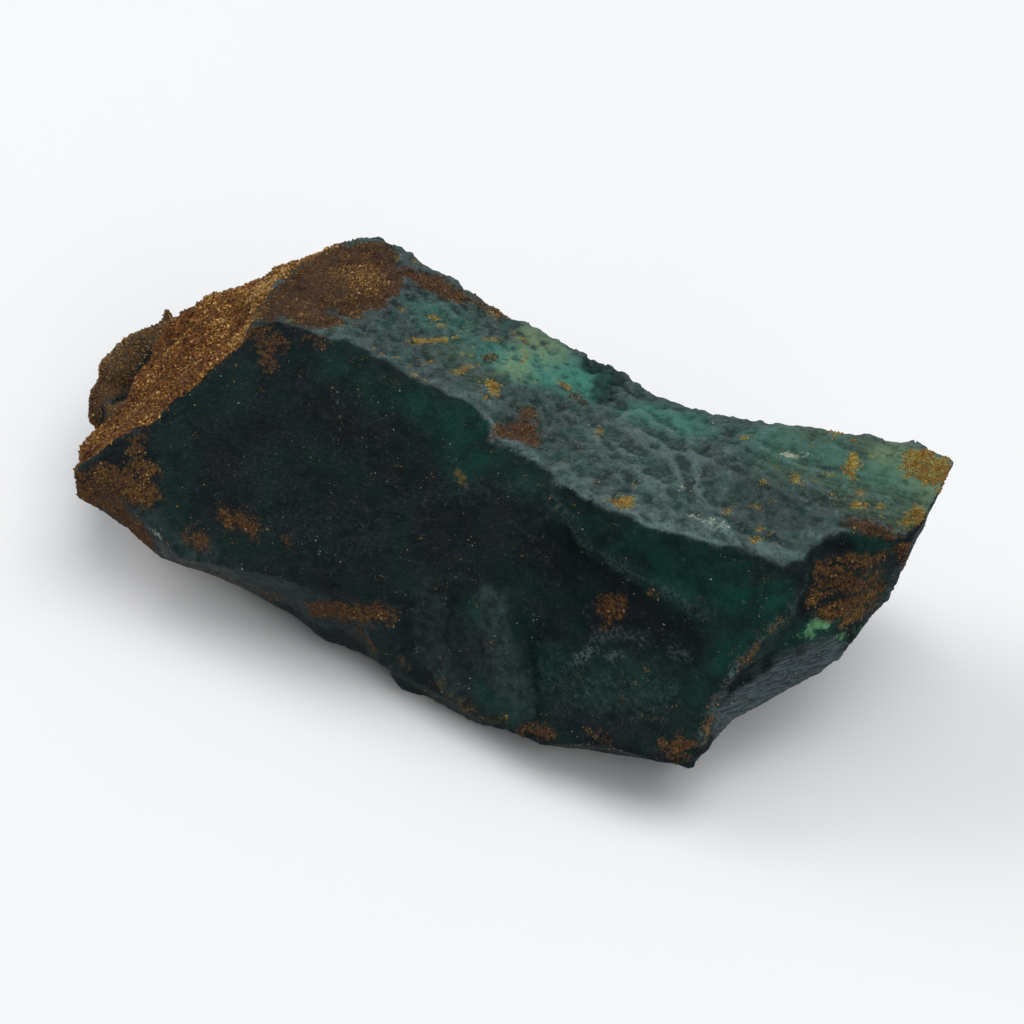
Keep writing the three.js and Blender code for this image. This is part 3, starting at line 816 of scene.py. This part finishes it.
# No rust in the valley, so that its painted shade shows
gap = spots({"valley": paintedShadeZones["valley"]}, seed=68)
streaked = soft(cloud(stretched(places, (0.78, 0.6, 0.15), 4), 0.5, 72) + 0.15, -0.35, 0.2)
rust = np.maximum(
    spots(rustOnTop, edge=0.6, seed=70) * facing((0, 0, 1), 0.6, 0.8),
    spots(rustOnSides, ragged=0.45, edge=0.7, size=0.9, seed=75) * (1 - 0.6 * ended * (1 - streaked)),
)
lobeRust = lobed * (0.75 + 0.25 * raised) * soft(z + cloud(places, 2, 69), 1.5, 3.5)
rust = np.maximum(rust, lobeRust) * (1 - gap)
rust *= 1 - 0.9 * sandy
# The back has the same finishes, and the same painted green glow, in patches that noise alone places
backRust = backSide * soft(layers(places, 4.0, 4, 0.6, 151), 0.20, 0.50) * soft(12.5 - z, 0, 2)
backGray = backSide * soft(layers(places, 6.0, 4, 0.55, 152), 0.05, 0.40)
edgeWear = 0.5 * crestMask * backSide * soft(layers(places, 2.5, 3, 0.6, 154), -0.2, 0.3)
backGlow = (backSide + 0.6 * ended) * soft(layers(places, 5.0, 3, 0.5, 153), 0.05, 0.40)
rust = np.maximum(rust, 0.8 * backRust)
# Small ochre smudges at both ends of the top
smudged = np.maximum(soft(4 - x, 0, 2), soft(x - 16, 0, 2)) * topSide
smudges = 0.6 * smudged * soft(layers(places, 1.0, 3, 0.6, 160), 0.30, 0.46)
masks = {
    "top": topSide,
    "raised": raised,
    "rust": rust,
    "sand": sandy,
    "ochre": np.maximum(spots(ochreStains, ragged=0.6, edge=0.4, size=0.7, seed=80), smudges),
    "teal": spots(tealZones, ragged=0.3, edge=1.2, size=3, seed=85) * topSide,
    "yellow": spots(yellowZones, ragged=0.3, edge=0.8, size=2, seed=87) * topSide,
    "olive": spots(oliveZones, ragged=0.3, edge=1.2, size=2, seed=88) * topSide,
    "frostAndSheen": spots(frostAndSheenZones, ragged=0.5, edge=0.6, size=1.2, seed=90) * topSide,
    "scuffAndHighlight": np.maximum(spots(scuffsAndHighlights, ragged=0.5, edge=0.3, size=1.0, seed=91), edgeWear) * frontSide,
    "glow": np.maximum(spots(glowZones, ragged=0.3, edge=1.0, size=2, seed=92), 0.5 * backGlow) * frontSide,
    "bright": spots(brightZones, ragged=0.5, edge=0.3, size=0.8, seed=94),
    "gray": np.maximum(spots(grayZones, ragged=0.3, edge=0.45, size=2, seed=96), 0.8 * backGray),
    # the dark mask is painted shade in hollows and under brows
    "dark": spots(paintedShadeZones, ragged=0.3, edge=0.4, size=1.2, seed=98),
    "pale": spots(paleZones, ragged=0.5, edge=0.25, size=0.6, seed=99),
    "ledge": ledged,
}
for name, values in masks.items():
    layer = stone.data.attributes.new(name, "FLOAT", "POINT")
    layer.data.foreach_set("value", values.astype(np.float32))
print("stone painted")


# Material of the stone

stoneLook = {
    "deep": (0.0034, 0.0072, 0.0092),
    "deepGray": (0.01, 0.0142, 0.0165),
    "green": (0.0026, 0.0145, 0.012),
    "dust": (0.022, 0.027, 0.0265),
    "glowGreen": (0.003, 0.044, 0.032),
    "gray": (0.022, 0.0365, 0.0375),
    "grayDark": (0.01, 0.016, 0.0175),
    "topGray": (0.049, 0.067, 0.065),
    "topDark": (0.015, 0.026, 0.0255),
    "topGreen": (0.024, 0.076, 0.056),
    "teal": (0.048, 0.185, 0.142),
    "yellow": (0.17, 0.25, 0.128),
    "olive": (0.08, 0.118, 0.062),
    # frosted pale colour, partly a painted sheen
    "frostAndSheen": (0.12, 0.185, 0.178),
    # pale scratches, partly painted highlights
    "scuffAndHighlight": (0.07, 0.1, 0.098),
    # painted green glints
    "bright": (0.12, 0.3, 0.14),
    "ledge": (0.072, 0.096, 0.102),
    "ledgeDark": (0.026, 0.035, 0.039),
    "pale": (0.3, 0.34, 0.26),
    # painted shade
    "dark": (0.0018, 0.0045, 0.0058),
    "ochre": (0.32, 0.235, 0.035),
    "rustDark": (0.032, 0.016, 0.0085),
    "rustLight": (0.125, 0.06, 0.019),
    "sandDark": (0.068, 0.0285, 0.0095),
    "sand": (0.235, 0.096, 0.025),
}


def emeraldMaterial():
    material, tree, shader, position = newMaterial("rawEmerald")

    def noise(*settings):
        return grain(tree, position, *settings)

    def mask(name):
        return painted(tree, name)

    def ramp(*settings):
        return fade(tree, *settings)

    def times(a, b):
        return combine(tree, "MULTIPLY", a, b)

    def plus(a, b):
        return combine(tree, "ADD", a, b)

    def coat(under, share, name):
        return blend(tree, share, under, stoneLook[name])

    def mixed(share, first, second):
        return blend(tree, share, stoneLook[first], stoneLook[second])

    clouds = noise(3.2, 5, 0.6, 0.4)
    patches = noise(1.3, 4, 0.6, 0.3)
    mottle = noise(0.5, 4, 0.65, 0.2)
    fine = noise(0.20, 3, 0.65)
    tiny = noise(0.09, 2, 0.5)
    hairs = grain(tree, drawnOut(tree, position, -35, 4), 0.22, 4, 0.7, 0.5)
    lamellae = grain(tree, drawnOut(tree, position, 12, 8), 0.22, 4, 0.65, 0.2)
    ledgeLines = grain(tree, drawnOut(tree, position, 60, 7), 0.13, 4, 0.7, 0.2)
    raised = mask("raised")

    # the dark front: nearly black, with gray and green clouds and fine dust in it
    colour = mixed(ramp(clouds, 0.42, 0.62), "deep", "green")
    colour = coat(colour, ramp(patches, 0.47, 0.62, 0, 0.6), "deepGray")
    colour = coat(colour, ramp(mottle, 0.47, 0.66, 0, 0.7), "deepGray")
    grayTone = mixed(ramp(mottle, 0.35, 0.62), "grayDark", "gray")
    onFront = brokenUp(tree, "gray", patches, 0.6, 0.25, 0.85)
    colour = blend(tree, onFront, colour, grayTone)
    glowShare = times(mask("glow"), ramp(patches, 0.36, 0.6, 0.35, 1.1))
    glowShare = times(glowShare, ramp(fine, 0.34, 0.56, 0.7, 1))
    colour = coat(colour, glowShare, "glowGreen")
    dustShare = times(ramp(fine, 0.50, 0.70, 0, 0.6), ramp(patches, 0.38, 0.6, 0.2, 1))
    colour = coat(colour, dustShare, "dust")
    torn = plus(times(mottle, 0.5), times(hairs, 0.5))
    scraped = plus(times(fine, 0.5), times(hairs, 0.5))
    # pale scratches and bruises, partly painted highlights along ridges
    scuffAndHighlightShare = times(mask("scuffAndHighlight"), ramp(scraped, 0.45, 0.58, 0.03, 1.15))
    colour = coat(colour, scuffAndHighlightShare, "scuffAndHighlight")
    ledgeTone = mixed(ramp(ledgeLines, 0.40, 0.62), "ledgeDark", "ledge")
    colour = blend(tree, mask("ledge"), colour, ledgeTone)

    # the pale top: painted shade in the hollows and painted highlights on the crests, gray and green
    # flakes, with teal and yellowish zones
    # Mottle and the relief together: the hollows take the darker tone, partly painted shade
    relief = plus(times(mottle, 0.6), times(raised, 0.4))
    topTone = mixed(ramp(relief, 0.36, 0.56), "topDark", "topGray")
    topTone = coat(topTone, ramp(patches, 0.46, 0.62, 0, 0.4), "topGreen")
    oliveShare = times(mask("olive"), ramp(lamellae, 0.35, 0.6))
    topTone = coat(topTone, oliveShare, "olive")
    tealShare = times(mask("teal"), ramp(relief, 0.30, 0.55, 0.35, 1.0))
    topTone = coat(topTone, tealShare, "teal")
    yellowShare = times(mask("yellow"), ramp(relief, 0.34, 0.58, 0.1, 1.0))
    topTone = coat(topTone, yellowShare, "yellow")
    # frosted pale colour and painted sheen, most on the crests
    frostAndSheenShare = times(mask("frostAndSheen"), ramp(raised, 0.35, 0.75, 0.35, 1.0))
    frostAndSheenShare = times(frostAndSheenShare, ramp(hairs, 0.36, 0.58, 0.25, 1.0))
    topTone = coat(topTone, frostAndSheenShare, "frostAndSheen")
    # Painted highlights: paler on the crests of the relief
    crestHighlight = times(ramp(raised, 0.62, 0.95, 0, 0.4), ramp(fine, 0.35, 0.6))
    topTone = coat(topTone, crestHighlight, "frostAndSheen")
    topTone = coat(topTone, ramp(fine, 0.54, 0.70, 0, 0.35), "frostAndSheen")
    topTone = coat(topTone, ramp(fine, 0.30, 0.45, 0.4, 0), "topDark")
    topTone = blend(tree, onFront, topTone, grayTone)
    topTone = coat(topTone, ramp(lamellae, 0.30, 0.44, 0.35, 0), "topDark")
    colour = blend(tree, mask("top"), colour, topTone)
    # painted shade where the dark mask lies
    colour = coat(colour, brokenUp(tree, "dark", patches, 0.4, 0.1, 0.9), "dark")
    # painted green glints on the broken end
    colour = coat(colour, brokenUp(tree, "bright", torn, 3.2, 0.3, 1.15), "bright")
    # pale crystals, and one painted glint on the front
    colour = coat(colour, brokenUp(tree, "pale", fine, 1.6, 0.3, 1.0), "pale")

    # stains: a film that noise of the grains' own size breaks up
    crusty = plus(times(fine, 0.65), times(mottle, 0.35))
    rustTone = mixed(ramp(fine, 0.38, 0.62), "rustDark", "rustLight")
    rustShare = times(brokenUp(tree, "rust", crusty, 2.2, 0.25, 1.0), 0.92)
    colour = blend(tree, rustShare, colour, rustTone)
    ochreShare = times(brokenUp(tree, "ochre", crusty, 2.6, 0.25, 1.1), 0.8)
    ochreTone = ramp(mask("top"), 0, 1, 0.25, 1)
    ochreTone = mixed(ochreTone, "rustLight", "ochre")
    colour = blend(tree, ochreShare, colour, ochreTone)
    sandTone = mixed(ramp(fine, 0.35, 0.62), "sandDark", "sand")
    sandShare = brokenUp(tree, "sand", fine, 1.6, 0.35, 0.6)
    colour = blend(tree, sandShare, colour, sandTone)
    plug(tree, colour, shader.inputs["Base Color"])

    dusty = combine(tree, "MAXIMUM", combine(tree, "MAXIMUM", rustShare, sandShare), ochreShare)
    roughness = ramp(patches, 0.3, 0.7, 0.34, 0.54)
    roughness = plus(roughness, times(mask("top"), 0.12))
    roughness = plus(roughness, times(dusty, 0.3))
    plug(tree, roughness, shader.inputs["Roughness"])
    shader.inputs["IOR"].default_value = 1.57
    shader.inputs["Specular IOR Level"].default_value = 0.05

    bumps = plus(times(mottle, 1.5), fine)
    bumps = plus(bumps, times(tiny, 0.4))
    bumps = plus(bumps, times(hairs, 0.9))
    bumps = plus(bumps, times(lamellae, 0.6))
    addBump(tree, shader, bumps, 0.9, 0.09)
    return material


stone.data.materials.clear()
stone.data.materials.append(emeraldMaterial())
stone.data.vertices.foreach_set("co", (places * mm).ravel().astype(np.float32))
stone.data.shade_smooth()
stone.data.update()
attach(stone, "root")
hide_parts("emerald")


# Grains: small faceted crumbs, scattered where a mask says and joined into one mesh a piece

stone.data.calc_loop_triangles()
stoneTriangles = np.empty(len(stone.data.loop_triangles) * 3, np.int64)
stone.data.loop_triangles.foreach_get("vertices", stoneTriangles)
stoneTriangles = stoneTriangles.reshape(-1, 3)

eightSided = (
    np.array([(1, 0, 0), (-1, 0, 0), (0, 1, 0), (0, -1, 0), (0, 0, 1), (0, 0, -1)], float),
    np.array([
        (0, 2, 4), (2, 1, 4), (1, 3, 4), (3, 0, 4), (2, 0, 5), (1, 2, 5), (3, 1, 5), (0, 3, 5),
    ]),
)


# Random places on the stone, more where share is high, with the surface's normals there
def scatter(source, share, count):
    corners = places[stoneTriangles]
    across = np.cross(corners[:, 1] - corners[:, 0], corners[:, 2] - corners[:, 0])
    weight = np.linalg.norm(across, axis=1) * share[stoneTriangles].mean(1)
    picked = source.choice(len(weight), count, p=weight / weight.sum())
    a, b = source.random((2, count))
    flip = a + b > 1
    a[flip], b[flip] = 1 - a[flip], 1 - b[flip]
    mix = np.stack([1 - a - b, a, b], 1)[:, :, None]
    spot = (corners[picked] * mix).sum(1)
    normal = (skinNormals[stoneTriangles[picked]] * mix).sum(1)
    return spot, normal / np.linalg.norm(normal, axis=1)[:, None]


def randomTurns(source, count):
    q = source.normal(size=(count, 4))
    w, x, y, z = (q / np.linalg.norm(q, axis=1)[:, None]).T
    return np.stack([
        np.stack([1 - 2 * (y * y + z * z), 2 * (x * y - z * w), 2 * (x * z + y * w)], 1),
        np.stack([2 * (x * y + z * w), 1 - 2 * (x * x + z * z), 2 * (y * z - x * w)], 1),
        np.stack([2 * (x * z - y * w), 2 * (y * z + x * w), 1 - 2 * (x * x + y * y)], 1),
    ], 1)


floorGap = 0.02


# One mesh of a crumb at every spot. Tone runs from 0, dark, to 1, pale.
def crumbs(name, source, spot, normal, size, tone, lift, flat):
    shape, faces = eightSided
    count = len(spot)
    bodies = shape[None] * (0.65 + 0.7 * source.random((count, len(shape), 1)))
    bodies = bodies * (0.7 + 0.6 * source.random((count, 1, 3)))
    bodies = np.einsum("nij,nkj->nki", randomTurns(source, count), bodies)
    rise = np.einsum("nkj,nj->nk", bodies, normal)[:, :, None] * normal[:, None]
    bodies = (bodies - flat * rise) * (size / 2)[:, None, None]
    points = bodies + (spot + normal * (size * lift)[:, None])[:, None]
    points[:, :, 2] = np.maximum(points[:, :, 2], floorGap)
    mesh = bpy.data.meshes.new(name)
    polygons = (faces[None] + (np.arange(count) * len(shape))[:, None, None]).reshape(-1, 3)
    mesh.from_pydata((points.reshape(-1, 3) * mm).tolist(), [], polygons.tolist())
    layer = mesh.attributes.new("tone", "FLOAT", "POINT")
    layer.data.foreach_set("value", np.repeat(tone, len(shape)).astype(np.float32))
    return addToScene(name, mesh)


# colours are (tone, colour) pairs; bruise is a tint that a share of every patch takes on
def crumbMaterial(name, colours, roughness, bruise, bruiseShare=0.6, gloss=0.2):
    material, tree, shader, position = newMaterial(name)
    ramp = tree.nodes.new("ShaderNodeValToRGB")
    while len(ramp.color_ramp.elements) < len(colours):
        ramp.color_ramp.elements.new(0.5)
    for element, (tone, colour) in zip(ramp.color_ramp.elements, colours):
        element.position = tone
        element.color = (*colour, 1)
    tree.links.new(painted(tree, "tone"), ramp.inputs["Fac"])
    bruised = fade(tree, grain(tree, position, 2.2, 3, 0.6), 0.42, 0.60, 0, bruiseShare)
    colour = blend(tree, bruised, ramp.outputs["Color"], bruise)
    speckle = grain(tree, position, 0.07, 3, 0.6)
    darker = blend(tree, 0.4, colour, (0.015, 0.009, 0.006))
    colour = blend(tree, fade(tree, speckle, 0.35, 0.6), darker, colour)
    plug(tree, colour, shader.inputs["Base Color"])
    roughness = fade(tree, speckle, 0.3, 0.7, roughness - 0.15, roughness + 0.1)
    plug(tree, roughness, shader.inputs["Roughness"])
    shader.inputs["Specular IOR Level"].default_value = gloss
    addBump(tree, shader, speckle, 0.6, 0.02)
    return material


# Scatters one piece of crumbs over the stone and gives it its slot and material
def makeCrumbs(name, material, setup, share, toneShift=None):
    source = np.random.default_rng(setup["seed"])
    count = setup["count"]
    spot, normal = scatter(source, share, count)
    tone = setup["tone"] + setup["toneSpread"] * source.normal(size=count)
    if toneShift is not None:
        tone = tone + toneShift(spot)
    size = setup["size"] * np.exp(setup["spread"] * source.normal(size=count).clip(-2, 2))
    piece = crumbs(
        name, source, spot, normal, size, np.clip(tone, 0, 1), setup["lift"], setup.get("flat", 0.0)
    )
    piece.data.materials.append(material)
    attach(piece, "root")


goldenColours = [
    (0.0, (0.036, 0.013, 0.005)), (0.3, (0.104, 0.037, 0.01)), (0.55, (0.22, 0.083, 0.02)),
    (0.8, (0.42, 0.2, 0.048)), (1.0, (0.7, 0.45, 0.15)),
]
goldenCrumbs = crumbMaterial("goldenCrumbs", goldenColours, 0.75, (0.13, 0.062, 0.028), 0.45)
rustColours = [
    (0.0, (0.016, 0.009, 0.007)), (0.3, (0.05, 0.025, 0.015)), (0.6, (0.115, 0.055, 0.024)),
    (0.85, (0.29, 0.14, 0.036)), (1.0, (0.52, 0.33, 0.12)),
]
rustCrumbs = crumbMaterial("rustCrumbs", rustColours, 0.78, (0.092, 0.052, 0.034), 0.5)
ochreColours = [
    (0.0, (0.08, 0.036, 0.01)), (0.5, (0.37, 0.205, 0.03)), (1.0, (0.68, 0.47, 0.12)),
]
ochreCrumbs = crumbMaterial("ochreCrumbs", ochreColours, 0.7, (0.2, 0.085, 0.02), 0.75)
paleColours = [(0.0, (0.15, 0.19, 0.165)), (1.0, (0.46, 0.48, 0.38))]
paleCrystalAndGlint = crumbMaterial("paleCrystalAndGlint", paleColours, 0.35, (0.4, 0.44, 0.34), 0.5, 0.5)

sandSetup = {
    "seed": 3, "count": 14500, "size": 0.110, "spread": 0.36, "tone": 0.45, "toneSpread": 0.24,
    "lift": 0.25,
}
makeCrumbs(
    "rustSand", goldenCrumbs, sandSetup, sandy,
    lambda spot: (
        0.55 * layers(spot, 2.2, 3, 0.6, 120) + 0.34 * soft(spot[:, 2], 12.5, 16.5)
        + 0.10 * soft(-spot[:, 2], -10, -8)
    ),
)

lobeSetup = {
    "seed": 7, "count": 9000, "size": 0.080, "spread": 0.35, "tone": 0.62, "toneSpread": 0.17,
    "lift": 0.1,
}
# The lobe's crumbs run paler higher up and darker lower down, partly painted shade low on the lobe
makeCrumbs(
    "rustLobe", rustCrumbs, lobeSetup, lobed * soft(rust, 0.2, 0.8),
    lambda spot: 0.6 * layers(spot, 1.8, 3, 0.6, 125) + 0.45 * soft(spot[:, 2], 4.5, 8),
)

crustSetup = {
    "seed": 4, "count": 22000, "size": 0.088, "spread": 0.35, "tone": 0.48, "toneSpread": 0.19,
    "lift": 0.12,
}
makeCrumbs(
    "rustCrust", rustCrumbs, crustSetup,
    (rust * (1 - lobed)) ** 2 * (0.17 + 0.83 * topSide + 0.12 * ended),
    lambda spot: 0.38 * layers(spot, 2.2, 3, 0.6, 134),
)

ochreSetup = {
    "seed": 8, "count": 3400, "size": 0.075, "spread": 0.4, "tone": 0.5, "toneSpread": 0.24,
    "lift": 0.1,
}
ochreShare = soft(masks["ochre"], 0.2, 0.9) ** 2 * (0.3 + 0.7 * topSide)
makeCrumbs("ochreCrust", ochreCrumbs, ochreSetup, ochreShare)

clumps = soft(layers(places, 1.2, 4, 0.8, 101), 0.16, 0.60) ** 2 + 0.006
speckSetup = {
    "seed": 5, "count": 4800, "size": 0.042, "spread": 0.5, "tone": 0.40, "toneSpread": 0.25,
    "lift": 0.05,
}
makeCrumbs("rustSpecks", ochreCrumbs, speckSetup, clumps * (1 - sandy))

# Pale specks in clumps over the stone, partly painted glints
whiteSetup = {
    "seed": 6, "count": 1700, "size": 0.045, "spread": 0.45, "tone": 0.45, "toneSpread": 0.3,
    "lift": 0.05,
}
makeCrumbs(
    "paleSpecksAndGlints", paleCrystalAndGlint, whiteSetup,
    (soft(layers(places, 2.0, 4, 0.7, 111), 0.0, 0.5) ** 2 + 0.02) * (1 - sandy),
)

# Single pale crystals in the middle of the pale zones; the one at the glint is a painted highlight
fleckZones = {name: (line, 0.7 * width, share) for name, (line, width, share) in paleZones.items()}
fleckSetup = {
    "seed": 9, "count": 90, "size": 0.09, "spread": 0.35, "tone": 0.55, "toneSpread": 0.2,
    "lift": 0.08, "flat": 0.5,
}
fleckShare = spots(fleckZones, edge=0.12, size=0.5, seed=140)
makeCrumbs("paleFlecks", paleCrystalAndGlint, fleckSetup, fleckShare)
print("grains scattered")
